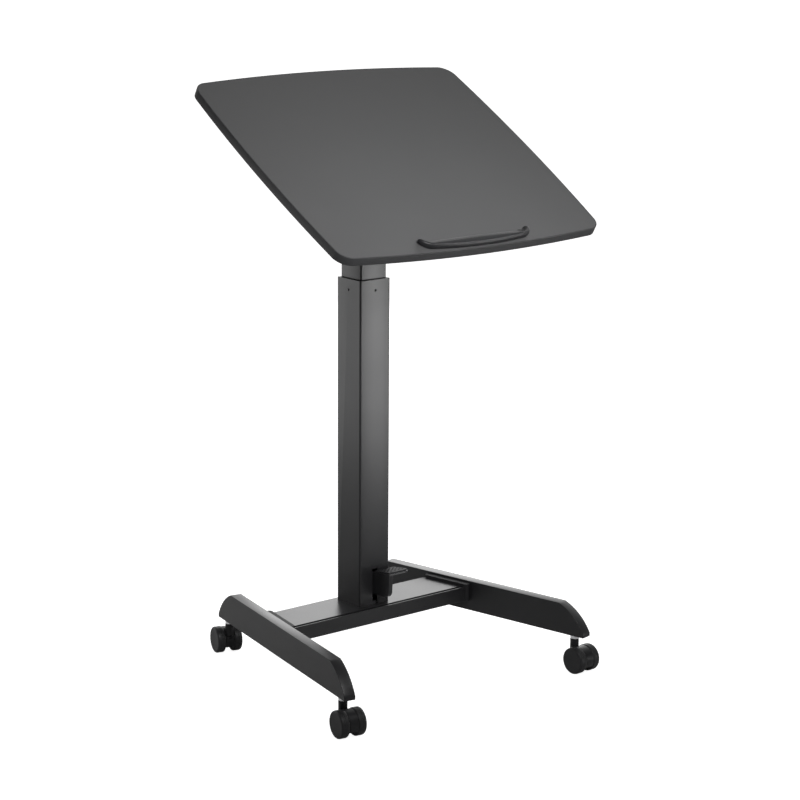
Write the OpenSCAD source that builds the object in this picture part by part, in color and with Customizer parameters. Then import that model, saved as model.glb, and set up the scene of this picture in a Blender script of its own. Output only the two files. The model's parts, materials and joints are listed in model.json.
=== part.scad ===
// Mobile standing desk: a tilting top on a two-stage lift column with a foot pedal,
// on an H-shaped base with four twin-wheel casters.
// Origin: on the floor, at the centre of the four casters. +Z is up, the user
// stands on the -Y side, and +X is to the user's right. Millimetres.

/* [Pose] */
// Tilt of the top at rest, front edge down, in degrees
tilt = 30.4; // [0:0.1:60]
// Length of inner tube that stands out of the outer tube at rest
extension = 175; // [20:1:380]
// Way the front left caster's wheels trail, in degrees from +X
heading_fl = -98.7; // [-180:0.1:180]
// Way the front right caster's wheels trail, in degrees from +X
heading_fr = -87.7; // [-180:0.1:180]
// Way the rear left caster's wheels trail, in degrees from +X
heading_rl = 75.4; // [-180:0.1:180]
// Way the rear right caster's wheels trail, in degrees from +X
heading_rr = 101; // [-180:0.1:180]

/* [Desktop] */
// Width of the top
top_width = 615; // [460:1:800]
// Depth of the top at its middle
top_depth = 537; // [420:1:640]
// Thickness of the top
top_thickness = 16; // [14:0.5:25]
// How far the front and back edges bow out
end_bow = 14.5; // [4:0.5:30]
// How far the side edges bow out
side_bow = 10; // [1:0.5:16]
// Radius of the top's corners
corner_radius = 25; // [15:1:80]
// Thickness of the edge band
band_t = 2; // [1:0.5:4]
// Distance of the top's middle in front of the hinge
top_offset = 79.5; // [20:0.5:110]

/* [Front lip] */
// Length of the lip across the top
lip_length = 257; // [180:1:400]
// Height of the lip's crest
lip_height = 12; // [8:0.5:18]
// Width of the lip's foot at its middle
lip_width = 30; // [24:0.5:36]
// Width of the lip's foot where its ends curl
lip_end_width = 21; // [14:0.5:24]
// Depth of the seat in the top that the lip's foot stands in
lip_seat = 1; // [0.5:0.1:2]
// Radius of the lip's long bow
lip_bow_radius = 850; // [600:10:3000]
// Radius of the lip's curled ends
lip_end_radius = 33; // [26:0.5:50]
// Turn of the lip's curled ends, in degrees
lip_end_turn = 78; // [40:1:85]
// Distance of the lip from the top's front edge
lip_inset = 4.5; // [3:0.5:20]
// Shank diameter of the lip's screws
lip_screw_d = 3.5; // [3:0.5:4]

/* [Tilt hinge] */
// Height of the hinge axis above the inner tube
hinge_rise = 43; // [38:1:60]
// Height of the top's underside above the hinge axis
hinge_to_top = 50; // [44:1:70]
// Diameter of the hinge bolt
hinge_bolt_d = 10; // [8:0.5:12]
// Thickness of the hinge plates
hinge_plate_t = 4; // [3:0.5:5]
// Width over the lower bracket's ears
yoke_width = 84; // [76:1:110]
// Radius of the rounded ends of the ears
ear_radius = 17; // [14:0.5:20]
// Thickness of the friction washers
washer_t = 3; // [2:0.5:5]
// Width of the mounting plate under the top
mount_width = 190; // [160:1:260]
// Depth of the mounting plate in front of the hinge
mount_front = 150; // [90:1:180]
// Depth of the mounting plate behind the hinge
mount_back = 60; // [40:1:90]
// Shank diameter of the mounting screws
mount_screw_d = 5; // [4:0.5:6]
// Length of the clamp lever from the hinge axis
lever_length = 68; // [50:1:90]
// Direction of the clamp lever below level, in degrees
lever_angle = 35; // [10:1:70]

/* [Column] */
// Width of the outer tube
outer_size = 70; // [68:1:76]
// Wall of the outer tube
outer_wall = 2.5; // [1.5:0.5:3]
// Height of the outer tube above the crossbeam
outer_height = 625; // [560:1:700]
// Width of the inner tube
inner_size = 60; // [54:0.5:61]
// Wall of the inner tube
inner_wall = 2; // [1.5:0.5:3]
// Length of the inner tube
inner_length = 533; // [440:1:540]
// Height of the upper glide
upper_glide_h = 60; // [30:1:90]
// Height of the lower glide
lower_glide_h = 40; // [25:1:60]
// Diameter of the glide's grub screws
grub_d = 5; // [4:0.5:6]
// Distance of the grub screws below the outer tube's top
grub_drop = 20; // [12:1:25]
// Distance of the column's axis behind the casters' centre
column_setback = 57; // [40:1:70]

/* [Gas spring] */
// Diameter of the gas cylinder
cylinder_d = 28; // [24:1:34]
// Length of the gas cylinder
cylinder_length = 490; // [480:1:500]
// Diameter of the piston rod
rod_d = 12; // [10:0.5:13]
// Height of the piston above the floor
piston_z = 690; // [675:1:720]
// Diameter of the release pin
release_d = 5; // [4:0.5:6]

/* [Pedal] */
// Height of the pedal's pivot above the crossbeam
pivot_height = 48; // [44:1:54]
// Distance of the pedal's pivot in front of the column's axis
pivot_forward = 20; // [18:0.5:22]
// Diameter of the pedal's pivot pin
pivot_d = 8; // [6:0.5:9]
// Sideways place of the pedal's arm
pedal_x = 1.5; // [-4:0.5:4]
// Thickness of the pedal's arm
arm_t = 9; // [6:0.5:10]
// Reach of the pedal in front of the column
arm_reach = 49; // [40:1:60]
// Height of the tread at the column, above the crossbeam
tread_height = 66; // [62:0.5:70]
// Height of the arm's lower edge above the crossbeam
arm_low = 23; // [20:1:28]
// Upward slope of the tread towards its front, in degrees
tread_slope = 8.5; // [0:0.5:12]
// Width of the tread
tread_width = 50; // [30:1:60]
// Thickness of the tread's metal plate
tread_plate_t = 3; // [2:0.5:4]
// Thickness of the tread's pad
pad_t = 3; // [2:0.5:4]
// Radius of the tread's front right corner
tread_corner = 12; // [6:1:16]

/* [Base] */
// Height of the legs' underside above the floor
leg_clearance = 68.5; // [66:0.5:80]
// Height of the legs
leg_height = 59; // [54:1:70]
// Width of the legs
leg_width = 22; // [20:0.5:28]
// Wall of the legs
leg_wall = 2; // [1.5:0.5:3]
// Length of the legs
leg_length = 541; // [480:1:620]
// Distance of each leg's middle from the centre plane
leg_mid = 230.6; // [210:0.1:260]
// Turn of the legs, toes outward at the front, in degrees
splay = 11.2; // [0:0.1:15]
// Radius of the legs' curved ends
end_radius = 110; // [90:1:130]
// Length of each curved end
end_run = 58; // [50:1:62]
// Height of the upright bit below each curved end
end_flat = 7; // [3:0.5:8]
// Distance of the beam's top below the legs' top
beam_drop = 9.5; // [6:0.5:12]
// Height of the crossbeam
beam_height = 28.5; // [26:0.5:34]
// Depth of the crossbeam's tube
beam_depth = 90; // [86:1:100]
// Wall of the crossbeam's tube
beam_wall = 2.5; // [2:0.5:3]
// Distance of the crossbeam's middle in front of the column's axis
beam_forward = 3; // [0:0.5:6]
// Width of the groove behind the beam's front plate
groove_width = 7.5; // [5:0.5:12]
// Thickness of the beam's front plate
front_plate_t = 2.5; // [2:0.5:4]
// Thickness of the end brackets
bracket_t = 13; // [10:0.5:16]
// Distance of the end brackets' front ahead of the beam's front plate
bracket_lead = 4; // [4:0.5:10]
// Length of the low step at the end brackets' back
bracket_step = 5; // [4:1:40]
// Height of the end brackets above the beam's top
bracket_rise = 5.5; // [2:0.5:8]
// Diameter of the bolts between beam and legs
leg_bolt_d = 8; // [6:0.5:9]
// Spacing of the two bolts at each leg
leg_bolt_spacing = 56; // [44:1:62]

/* [Casters] */
// Diameter of the wheels
wheel_d = 50.8; // [46:0.2:52]
// Width of each wheel
wheel_width = 16; // [14:0.5:17]
// Distance between the two wheels' middles
wheel_spacing = 34; // [33:0.5:38]
// Distance of the axle from the swivel axis
wheel_trail = 18.8; // [17:0.1:21]
// Distance of the swivel axes from the legs' ends
caster_inset = 27.5; // [25:0.5:40]
// Diameter of the caster's stem
stem_d = 10; // [8:0.5:11]
// Height of the collar under the stem's nut
collar_height = 11; // [9:0.5:14]
// Diameter of the collar
collar_d = 16.5; // [14:0.5:17]
// Height of the stem's nut
nut_height = 6.5; // [4:0.5:7]
// Diameter of the stem's nut
nut_d = 16; // [15:0.5:18]
// Diameter of the axles
axle_d = 6; // [5:0.5:8]

/* [Hidden] */
// Radial clearance of a pin or shaft in its bore
fit = 0.05;
// Gap between flat faces of pieces that move on each other
slide_gap = 0.3;
// Gap between pieces that are pushed or screwed together
seat_gap = 0.1;
// Overshoot of a cut past the face that it opens
over = 1;
// Sides of the round pieces
$fn = 64;

column_y = column_setback;
beam_top = leg_clearance + leg_height - beam_drop;
beam_z = beam_top - beam_height;
beam_y = column_y - beam_forward;
beam_front = beam_y - beam_depth / 2;
beam_back = beam_y + beam_depth / 2;
plate_front = beam_front - groove_width - front_plate_t;
column_top = beam_top + outer_height;
outer_inside = outer_size - 2 * outer_wall;
inner_top = column_top + extension;
inner_bottom = inner_top - inner_length;
tube_corner = 3;
glide_corner = 1.5;

// Hinge
hinge_z = inner_top + hinge_rise;
hinge_r = hinge_bolt_d / 2;
head_t = 6;
head_margin = 10;
head_size = inner_size + 2 * head_margin;
ear_flare = 15;
top_ear_flare = 22;
yoke_depth = 2 * (ear_radius + ear_flare);
ear_in = yoke_width / 2 - hinge_plate_t;
top_ear_in = yoke_width / 2 + washer_t;
top_ear_out = top_ear_in + hinge_plate_t;
bolt_head_r = 0.9 * hinge_bolt_d;
bolt_head_t = 6;
lever_hub_r = 1.1 * hinge_bolt_d;
lever_hub_t = 18;
lever_bore_t = 14;
lever_hub_x = top_ear_out + slide_gap;
lever_arm_t = 8;
lever_grip_length = 34;
lever_grip_r = 8;
lever_tang = 12;
yoke_bolt_d = 6;
yoke_bolt_x = ear_in - 2 * yoke_bolt_d;
yoke_bolt_y = yoke_depth / 2 - head_margin;
yoke_bolt_head_t = 4;
stud_d = 10;
stud_nut_r = 8.5;
stud_nut_t = 6;
mount_screw_inset = 16;
mount_screw_x = mount_width / 2 - mount_screw_inset;
mount_screw_ys = [mount_screw_inset - mount_front, (mount_back - mount_front) / 2, mount_back - mount_screw_inset];
mount_screw_depth = 0.75 * top_thickness;
screw_head_r = mount_screw_d;
screw_head_t = 2.5;

// Lip
lip_y = -top_offset - top_depth / 2 + lip_inset;
lip_bow_turn = asin((lip_length / 2 - lip_end_radius * sin(lip_end_turn)) / (lip_bow_radius - lip_end_radius));
lip_tip_width = 0.3;
lip_tip_height = 0.12;
lip_screw_x = 0.35 * lip_length;
lip_screw_y = lip_y + lip_bow_radius - sqrt(pow(lip_bow_radius, 2) - pow(lip_screw_x, 2)) + lip_end_width * 0.3;
lip_screw_bite = lip_height * 0.5;
lip_screw_head_r = lip_screw_d;
lip_screw_head_t = 2;

// Gas spring
rod_r = rod_d / 2;
cylinder_wall = 2.5;
cylinder_guide = 12;
cylinder_cap = 4;
piston_t = 12;
piston_gap = 0.3;
cylinder_top = inner_top;
cylinder_bottom = cylinder_top - cylinder_length;
rod_nut_r = rod_r + 5;
rod_nut_t = 8;
rod_end_below = 2;
release_r = release_d / 2;
release_length = 30;
release_bore = 32;

// Pedal and its bracket, in the pivot's frame
pivot_r = pivot_d / 2;
pivot_y = column_y - pivot_forward;
pivot_z = beam_top + pivot_height;
face_y = -(outer_size / 2 - pivot_forward);
blade_top = tread_height - pad_t - pivot_height;
nose_y = face_y - arm_reach;
nose_top = blade_top + arm_reach * tan(tread_slope);
blade_drop = tread_plate_t / 2;
nose_low = arm_low - pivot_height;
nose_back = 14;
nose_lean = 2;
nose_radius = 13;
hub_r = pivot_r + 7;
tip_y = pivot_forward;
tip_z = 12;
tip_r = 5;
tongue_t = 8;
tongue_root = 9;
tread_gap = 1;
tread_depth = (arm_reach - tread_gap) / cos(tread_slope);
bump_r = 1.5;
bump_h = 0.8;
bump_pitch = 9;
pad_inset = 1.5;
slot_width = arm_t + 3;
slot_top = tread_height + 4;
foot_t = 6;
foot_size = outer_inside - 2 * seat_gap;
bracket_plate_t = 8;
cheek_t = 4;
cheek_gap = 7;
cheek_in = arm_t / 2 + cheek_gap;
cheek_out = cheek_in + cheek_t;
cheek_depth = 54;
bracket_top = 82;
clip_t = 1;
clip_r = pivot_r + 3;
pin_end = 1;
spring_r = pivot_r + 4;
column_bolt_d = 6;
column_bolt_at = foot_size / 2 - 8;
column_bolt_head_r = 5;
column_bolt_head_t = 4;

// Base
end_centre = arc_centre([-leg_length / 2, end_flat], [-leg_length / 2 + end_run, leg_height], end_radius);
bracket_corner = 0.46 * bracket_t;
bracket_front = along_bracket(plate_front - bracket_lead);
bracket_back = along_bracket(beam_back) + bracket_corner;
leg_bolt_r = leg_bolt_d / 2;
leg_bolt_head_r = leg_bolt_r + 3.5;
leg_bolt_head_t = 5;
leg_bolt_bite = 8;
leg_bolt_z = beam_z + beam_height / 2;
caster_at = leg_length / 2 - caster_inset;
socket_r = min(stem_d / 2 + 3.5, leg_width / 2 - leg_wall - 0.5);
socket_height = 22;

// Casters
wheel_r = wheel_d / 2;
stem_r = stem_d / 2;
axle_r = axle_d / 2;
wheel_chamfer = 1.6;
wheel_skin = 2;
wheel_recess = 3;
wheel_rim = 3.5;
hood_width = wheel_spacing - wheel_width - 2 * slide_gap;
hood_step = 1;
hood_r = wheel_r - hood_step;
hood_cut = 14;
collar_top = leg_clearance - nut_height - 2 * slide_gap;
collar_bottom = collar_top - collar_height;
neck_r = min(collar_d, hood_width) / 2;
neck_floor = 3;
stem_bottom = collar_bottom - 12;
CORNERS = [[-1, -1], [1, -1], [-1, 1], [1, 1]];
HEADINGS = [heading_fl, heading_fr, heading_rl, heading_rr];

// Colours
top_grey = [0.30, 0.30, 0.31];
edge_black = [0.13, 0.13, 0.135];
steel_black = [0.19, 0.19, 0.195];
plastic_black = [0.1, 0.1, 0.1];
zinc = [0.72, 0.73, 0.74];
chrome = [0.85, 0.86, 0.87];

// Corner points of a rectangle with rounded corners, about the origin
function rounded_rect(w, d, r, steps = 5) = [
    for (c = [0:3]) for (i = [0:steps])
        let (a = 90 * (c + i / steps))
        [corner_x(c) * (w / 2 - r) + r * cos(a), corner_y(c) * (d / 2 - r) + r * sin(a)]
];
function corner_x(c) = (c == 0 || c == 3) ? 1 : -1;
function corner_y(c) = c < 2 ? 1 : -1;

// Outline of the top, moved in by inset: a rounded rectangle whose four sides bow out
function top_outline(inset, arc_steps = 8, side_steps = 10) =
    let (hw = top_width / 2 - side_bow - inset, hd = top_depth / 2 - end_bow - inset, r = corner_radius - inset)
    [for (c = [0:3]) for (i = [0:arc_steps + side_steps - 1])
        bow_out(i <= arc_steps
            ? arc_point(c, 90 * (c + i / arc_steps), hw, hd, r)
            : mix(arc_point(c, 90 * (c + 1), hw, hd, r), arc_point((c + 1) % 4, 90 * (c + 1), hw, hd, r),
                (i - arc_steps) / side_steps), hw, hd)];
function arc_point(c, a, hw, hd, r) = [corner_x(c) * (hw - r) + r * cos(a), corner_y(c) * (hd - r) + r * sin(a)];
function mix(a, b, t) = a * (1 - t) + b * t;
function bow_out(p, hw, hd) = [
    p.x + side_bow * p.x / hw * (1 - pow(p.y / hd, 2)),
    p.y + end_bow * p.y / hd * (1 - pow(p.x / hw, 2))
];

// Centre of the circle of radius r through a and b, on the right hand going from a to b
function arc_centre(a, b, r) =
    let (d = b - a, l = norm(d), h = sqrt(r * r - l * l / 4))
    (a + b) / 2 + [d.y, -d.x] * h / l;

// Points on the short arc of radius r from a to b, which bulges to the left
function arc_points(a, b, r, steps = 8) =
    let (c = arc_centre(a, b, r), from = atan2(a.y - c.y, a.x - c.x), to = atan2(b.y - c.y, b.x - c.x))
    let (turn = (to - from + 540) % 360 - 180)
    [for (i = [0:steps]) c + r * [cos(from + turn * i / steps), sin(from + turn * i / steps)]];

// Inner end of the beam at depth y: where it meets the end bracket of the splayed leg
function end_x(y) = leg_mid - tan(splay) * y - (leg_width / 2 + bracket_t) / cos(splay);

// Place along the splayed leg at which an end bracket's middle plane crosses depth y
function along_bracket(y) = (y + (leg_width + bracket_t) / 2 * sin(splay)) / cos(splay);

// Frames
module on_hinge() {
    translate([0, column_y, hinge_z]) children();
}

module on_top() {
    on_hinge() rotate([tilt, 0, 0]) children();
}

module at_column(z) {
    translate([0, column_y, z]) children();
}

module at_pivot() {
    translate([pedal_x, pivot_y, pivot_z]) children();
}

module on_tread() {
    translate([-arm_t / 2, face_y - tread_gap, blade_top + tread_gap * tan(tread_slope)])
        rotate([-tread_slope, 0, 0]) children();
}

module on_leg(side) {
    mirror([side < 0 ? 1 : 0, 0, 0]) translate([leg_mid, 0, 0]) rotate([0, 0, splay]) children();
}

module at_each_stem() {
    for (side = [-1, 1]) for (end = [-1, 1])
        on_leg(side) translate([0, end * caster_at, 0]) children();
}

module at_caster(i) {
    x = CORNERS[i][0] * (leg_mid - CORNERS[i][1] * caster_at * sin(splay));
    y = CORNERS[i][1] * caster_at * cos(splay);
    translate([x, y, 0]) rotate([0, 0, HEADINGS[i]]) children();
}

// Shapes that repeat
module across(x, t) {
    translate([x, 0, 0]) rotate([90, 0, 90]) linear_extrude(t) children();
}

module rod_x(x, length, r) {
    translate([x, 0, 0]) rotate([0, 90, 0]) cylinder(h = length, r = r);
}

module rod_y(length, r) {
    rotate([90, 0, 0]) cylinder(h = length, r = r, center = true);
}

module ring(h, r_out, r_in) {
    difference() {
        cylinder(h = h, r = r_out);
        translate([0, 0, -over]) cylinder(h = h + 2 * over, r = r_in);
    }
}

module square_tube(h, size, wall) {
    difference() {
        rounded_block(size, h, tube_corner);
        translate([0, 0, -over]) rounded_block(size - 2 * wall, h + 2 * over, max(tube_corner - wall, 0.5));
    }
}

module block(w, d, h) {
    translate([-w / 2, -d / 2, 0]) cube([w, d, h]);
}

module rounded_block(size, h, r) {
    linear_extrude(h) polygon(rounded_rect(size, size, r));
}

// Desktop
module top_screw_holes(h, r) {
    for (x = [-1, 1], y = mount_screw_ys)
        translate([x * mount_screw_x, y, hinge_to_top - over]) cylinder(h = h + over, r = r);
}

module desktop() {
    color(top_grey) on_top() difference() {
        translate([0, -top_offset, hinge_to_top]) linear_extrude(top_thickness) polygon(top_outline(band_t));
        top_screw_holes(mount_screw_depth + seat_gap, mount_screw_d / 2 + seat_gap);
        for (x = [-1, 1])
            translate([x * lip_screw_x, lip_screw_y, hinge_to_top - over])
                cylinder(h = top_thickness + 2 * over, r = lip_screw_d / 2 + seat_gap);
        translate([0, lip_y, hinge_to_top + top_thickness - lip_seat]) linear_extrude(lip_seat + over)
            polygon(lip_foot(seat_gap));
    }
}

module edge_band() {
    color(edge_black) on_top() translate([0, -top_offset, hinge_to_top]) linear_extrude(top_thickness)
        difference() {
            polygon(top_outline(0));
            polygon(top_outline(band_t));
        }
}

// Cross-section of the lip, w wide at its foot, at a share k of its size: upright front,
// rounded crest and a hollow back that ends in a thin edge. It shrinks about its crest.
function lip_section(w, k) =
    let (wide = w * (lip_tip_width + (1 - lip_tip_width) * k), high = lip_height * (lip_tip_height + (1 - lip_tip_height) * k))
    concat([[lip_shift(w, k), -lip_seat]],
        [for (p = [[0, 0.3], [0.02, 0.55], [0.06, 0.78], [0.12, 0.93], [0.2, 1], [0.28, 0.96], [0.35, 0.84],
            [0.42, 0.66], [0.5, 0.47], [0.6, 0.3], [0.72, 0.19], [0.86, 0.13], [1, 0.1]])
            [p.x * wide + lip_shift(w, k), p.y * high]],
        [[wide + lip_shift(w, k), -lip_seat]]);
function lip_shift(w, k) = lip_tip_width * w * (1 - k);

// Frames along the lip: place of the front line, turn, width and size share
function lip_path(arc_steps = 8, bow_steps = 4) = concat(
    [for (i = [0:arc_steps - 1]) lip_frame(-1, mix(lip_end_turn, lip_bow_turn, i / arc_steps))],
    [for (i = [-bow_steps:bow_steps]) lip_frame(i < 0 ? -1 : 1, lip_bow_turn * abs(i) / bow_steps)],
    [for (i = [1:arc_steps]) lip_frame(1, mix(lip_bow_turn, lip_end_turn, i / arc_steps))]);
function lip_frame(side, a) =
    let (b = min(a, lip_bow_turn), share = (a - b) / (lip_end_turn - lip_bow_turn))
    [side * (lip_bow_radius * sin(b) + lip_end_radius * (sin(a) - sin(b))),
        lip_bow_radius * (1 - cos(b)) + lip_end_radius * (cos(b) - cos(a)),
        side * a,
        mix(lip_width, lip_end_width, pow(b / lip_bow_turn, 2)),
        sqrt(max(0, 1 - pow(share, 6)))];
function lip_point(f, across) = [f[0] - across * sin(f[2]), f[1] + across * cos(f[2])];

// Outline of the lip's foot, larger all round by extra
function lip_foot(extra) =
    let (path = lip_path(), n = len(path) - 1,
        ends = [for (i = [0, n]) let (f = path[i], out = (i == 0 ? -extra : extra))
            [f[0] + out * cos(f[2]), f[1] + out * sin(f[2]), f[2], f[3], f[4]]],
        wider = concat([ends[0]], [for (i = [1:n - 1]) path[i]], [ends[1]]))
    concat([for (f = wider) lip_point(f, lip_shift(f[3], f[4]) - extra)],
        [for (i = [n:-1:0]) let (f = wider[i], k = f[4])
            lip_point(f, lip_shift(f[3], k) + f[3] * (lip_tip_width + (1 - lip_tip_width) * k) + extra)]);

module front_lip() {
    path = lip_path();
    section_count = len(lip_section(lip_width, 1));
    points = [for (f = path) for (p = lip_section(f[3], f[4])) [lip_point(f, p.x).x, lip_point(f, p.x).y, p.y]];
    sides = [for (i = [0:len(path) - 2]) for (j = [0:section_count - 1])
        let (k = (j + 1) % section_count, a = i * section_count, b = a + section_count)
        for (t = [[a + j, b + k, b + j], [a + j, a + k, b + k]]) t];
    last = (len(path) - 1) * section_count;
    start_cap = [for (j = [section_count - 1:-1:0]) j];
    end_cap = [for (j = [0:section_count - 1]) last + j];
    color(plastic_black) on_top() translate([0, 0, hinge_to_top + top_thickness]) difference() {
        translate([0, lip_y, 0]) polyhedron(points, concat(sides, [start_cap, end_cap]));
        for (x = [-1, 1])
            translate([x * lip_screw_x, lip_screw_y, -lip_seat - over])
                cylinder(h = lip_seat + over + lip_screw_bite + seat_gap, r = lip_screw_d / 2 + seat_gap, $fn = 16);
    }
}

module lip_screws() {
    color(zinc) on_top() for (x = [-1, 1]) translate([x * lip_screw_x, lip_screw_y, hinge_to_top]) {
        cylinder(h = top_thickness + lip_screw_bite, r = lip_screw_d / 2);
        translate([0, 0, -lip_screw_head_t]) cylinder(h = lip_screw_head_t, r = lip_screw_head_r);
    }
}

// Tilt hinge
module top_bracket() {
    color(steel_black) on_top() difference() {
        union() {
            translate([-mount_width / 2, -mount_front, hinge_to_top - hinge_plate_t])
                cube([mount_width, mount_front + mount_back, hinge_plate_t]);
            for (side = [-1, 1])
                across(side < 0 ? -top_ear_out : top_ear_in, hinge_plate_t) top_ear();
        }
        rod_x(-top_ear_out - over, 2 * (top_ear_out + over), hinge_r + fit);
        translate([0, 0, -hinge_plate_t]) top_screw_holes(hinge_to_top, mount_screw_d / 2 + seat_gap);
    }
}

module top_ear() {
    circle(r = ear_radius);
    foot = ear_radius + top_ear_flare;
    foot_z = hinge_to_top - hinge_plate_t / 2;
    polygon([[-ear_radius, 0], [ear_radius, 0], [foot, foot_z], [-foot, foot_z]]);
}

module mount_screws() {
    color(zinc) on_top() for (x = [-1, 1], y = mount_screw_ys)
        translate([x * mount_screw_x, y, hinge_to_top - hinge_plate_t]) {
            cylinder(h = hinge_plate_t + mount_screw_depth, r = mount_screw_d / 2);
            translate([0, 0, -screw_head_t]) cylinder(h = screw_head_t, r = screw_head_r);
        }
}

module lower_bracket() {
    base_z = head_t - hinge_rise;
    color(steel_black) on_hinge() difference() {
        union() {
            translate([0, 0, base_z]) block(yoke_width, yoke_depth, hinge_plate_t);
            for (side = [-1, 1])
                across(side < 0 ? -yoke_width / 2 : ear_in, hinge_plate_t) {
                    circle(r = ear_radius);
                    polygon([[-yoke_depth / 2, base_z], [yoke_depth / 2, base_z], [ear_radius, 0], [-ear_radius, 0]]);
                }
        }
        rod_x(-yoke_width / 2 - over, yoke_width + 2 * over, hinge_r + fit);
        translate([0, 0, base_z - over]) cylinder(h = hinge_plate_t + 2 * over, r = stud_d);
        for (x = [-1, 1], y = [-1, 1])
            translate([x * yoke_bolt_x, y * yoke_bolt_y, base_z - over])
                cylinder(h = hinge_plate_t + 2 * over, r = yoke_bolt_d / 2 + seat_gap);
    }
}

module yoke_bolts() {
    color(zinc) at_column(inner_top) for (x = [-1, 1], y = [-1, 1])
        translate([x * yoke_bolt_x, y * yoke_bolt_y, 0]) {
            cylinder(h = head_t + hinge_plate_t, r = yoke_bolt_d / 2);
            translate([0, 0, head_t + hinge_plate_t]) cylinder(h = yoke_bolt_head_t, r = yoke_bolt_d * 0.85);
        }
}

module head_plate() {
    color(steel_black) at_column(inner_top) difference() {
        block(head_size, head_size, head_t);
        translate([0, 0, -over]) cylinder(h = head_t + 2 * over, r = stud_d / 2 + seat_gap);
        for (x = [-1, 1], y = [-1, 1])
            translate([x * yoke_bolt_x, y * yoke_bolt_y, -over])
                cylinder(h = head_t + 2 * over, r = yoke_bolt_d / 2 + seat_gap);
    }
}

module hinge_bolt() {
    head_x = -top_ear_out - hinge_plate_t / 2 - bolt_head_t;
    color(zinc) on_hinge() {
        rod_x(head_x, lever_hub_x + lever_bore_t - slide_gap - head_x, hinge_r);
        translate([head_x, 0, 0]) rotate([0, 90, 0]) cylinder(h = bolt_head_t, r = bolt_head_r, $fn = 6);
    }
}

module hinge_washer() {
    color(zinc) on_hinge() translate([-top_ear_out - hinge_plate_t / 2, 0, 0]) rotate([0, 90, 0])
        ring(hinge_plate_t / 2 - slide_gap, bolt_head_r + 2, hinge_r + fit);
}

module friction_washers() {
    color(plastic_black) on_hinge() for (side = [-1, 1])
        translate([side < 0 ? -yoke_width / 2 - washer_t + slide_gap : yoke_width / 2, 0, 0])
            rotate([0, 90, 0]) ring(washer_t - slide_gap, ear_radius - 1, hinge_r + fit);
}

// Clamp lever, which points back and down
module on_lever() {
    on_hinge() rotate([-lever_angle, 0, 0]) children();
}

module tilt_lever() {
    arm_y = lever_length - lever_grip_length;
    color(zinc) on_lever() difference() {
        union() {
            rod_x(lever_hub_x, lever_hub_t, lever_hub_r);
            across(lever_hub_x + (lever_hub_t - lever_arm_t) / 2, lever_arm_t)
                translate([0, -lever_arm_t / 2]) square([arm_y + lever_tang, lever_arm_t]);
        }
        rod_x(lever_hub_x - over, lever_bore_t + over, hinge_r + fit);
    }
}

module lever_grip() {
    arm_y = lever_length - lever_grip_length;
    color(plastic_black) on_lever() difference() {
        translate([lever_hub_x + lever_hub_t / 2, arm_y, 0]) rotate([-90, 0, 0])
            cylinder(h = lever_grip_length, r1 = 0.8 * lever_grip_r, r2 = lever_grip_r);
        across(lever_hub_x + (lever_hub_t - lever_arm_t) / 2 - seat_gap, lever_arm_t + 2 * seat_gap)
            translate([arm_y - over, -lever_arm_t / 2 - seat_gap])
                square([lever_tang + over + seat_gap, lever_arm_t + 2 * seat_gap]);
    }
}

// Column
module outer_tube() {
    color(steel_black) at_column(beam_top) difference() {
        square_tube(outer_height, outer_size, outer_wall);
        translate([pedal_x - slot_width / 2, -outer_size / 2 - over, -over])
            cube([slot_width, outer_wall + 2 * over, slot_top + over]);
        grub_shanks(grub_d / 2 + seat_gap, over);
    }
}

module grub_shanks(r, extra) {
    for (a = [0:90:270]) rotate([0, 0, a])
        translate([outer_inside / 2 - extra, 0, outer_height - grub_drop]) rotate([0, 90, 0])
            cylinder(h = outer_wall + 2 * extra, r = r);
}

module grub_screws() {
    color(zinc) at_column(beam_top) grub_shanks(grub_d / 2, 0);
}

module upper_glide() {
    size = outer_inside - 2 * seat_gap;
    hole = inner_size + 2 * slide_gap;
    color(plastic_black) at_column(column_top - upper_glide_h) difference() {
        rounded_block(size, upper_glide_h, glide_corner);
        translate([0, 0, -over]) rounded_block(hole, upper_glide_h + 2 * over, tube_corner);
    }
}

module inner_tube() {
    color(steel_black) at_column(inner_bottom) square_tube(inner_length, inner_size, inner_wall);
}

module lower_glide() {
    lip = 4;
    size = outer_inside - 2 * slide_gap;
    hole = inner_size + 2 * seat_gap;
    color(plastic_black) at_column(inner_bottom - lip) difference() {
        rounded_block(size, lower_glide_h, glide_corner);
        translate([0, 0, lip]) rounded_block(hole, lower_glide_h, tube_corner);
        translate([0, 0, -over]) rounded_block(inner_size - 4 * inner_wall, lip + 2 * over, glide_corner);
    }
}

module column_foot() {
    color(steel_black) at_column(beam_top) difference() {
        rounded_block(foot_size, foot_t, glide_corner);
        for (x = [-1, 1], y = [-1, 1])
            translate([x * column_bolt_at, y * column_bolt_at, -over])
                cylinder(h = foot_t + 2 * over, r = column_bolt_d / 2 + seat_gap);
    }
}

module column_bolts() {
    color(zinc) for (x = [-1, 1], y = [-1, 1])
        at_column(beam_top) translate([x * column_bolt_at, y * column_bolt_at, -beam_wall]) {
            cylinder(h = beam_wall + foot_t + 1, r = column_bolt_d / 2);
            translate([0, 0, -column_bolt_head_t]) cylinder(h = column_bolt_head_t, r = column_bolt_head_r);
        }
}

// Gas spring
module gas_cylinder() {
    r = cylinder_d / 2;
    color(plastic_black) at_column(cylinder_bottom) difference() {
        union() {
            cylinder(h = cylinder_length, r = r);
            cylinder(h = cylinder_length + head_t + stud_nut_t + 1, r = stud_d / 2);
        }
        translate([0, 0, cylinder_guide])
            cylinder(h = cylinder_length - cylinder_guide - cylinder_cap, r = r - cylinder_wall);
        translate([0, 0, -over]) cylinder(h = cylinder_guide + 2 * over, r = rod_r + fit);
    }
}

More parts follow.
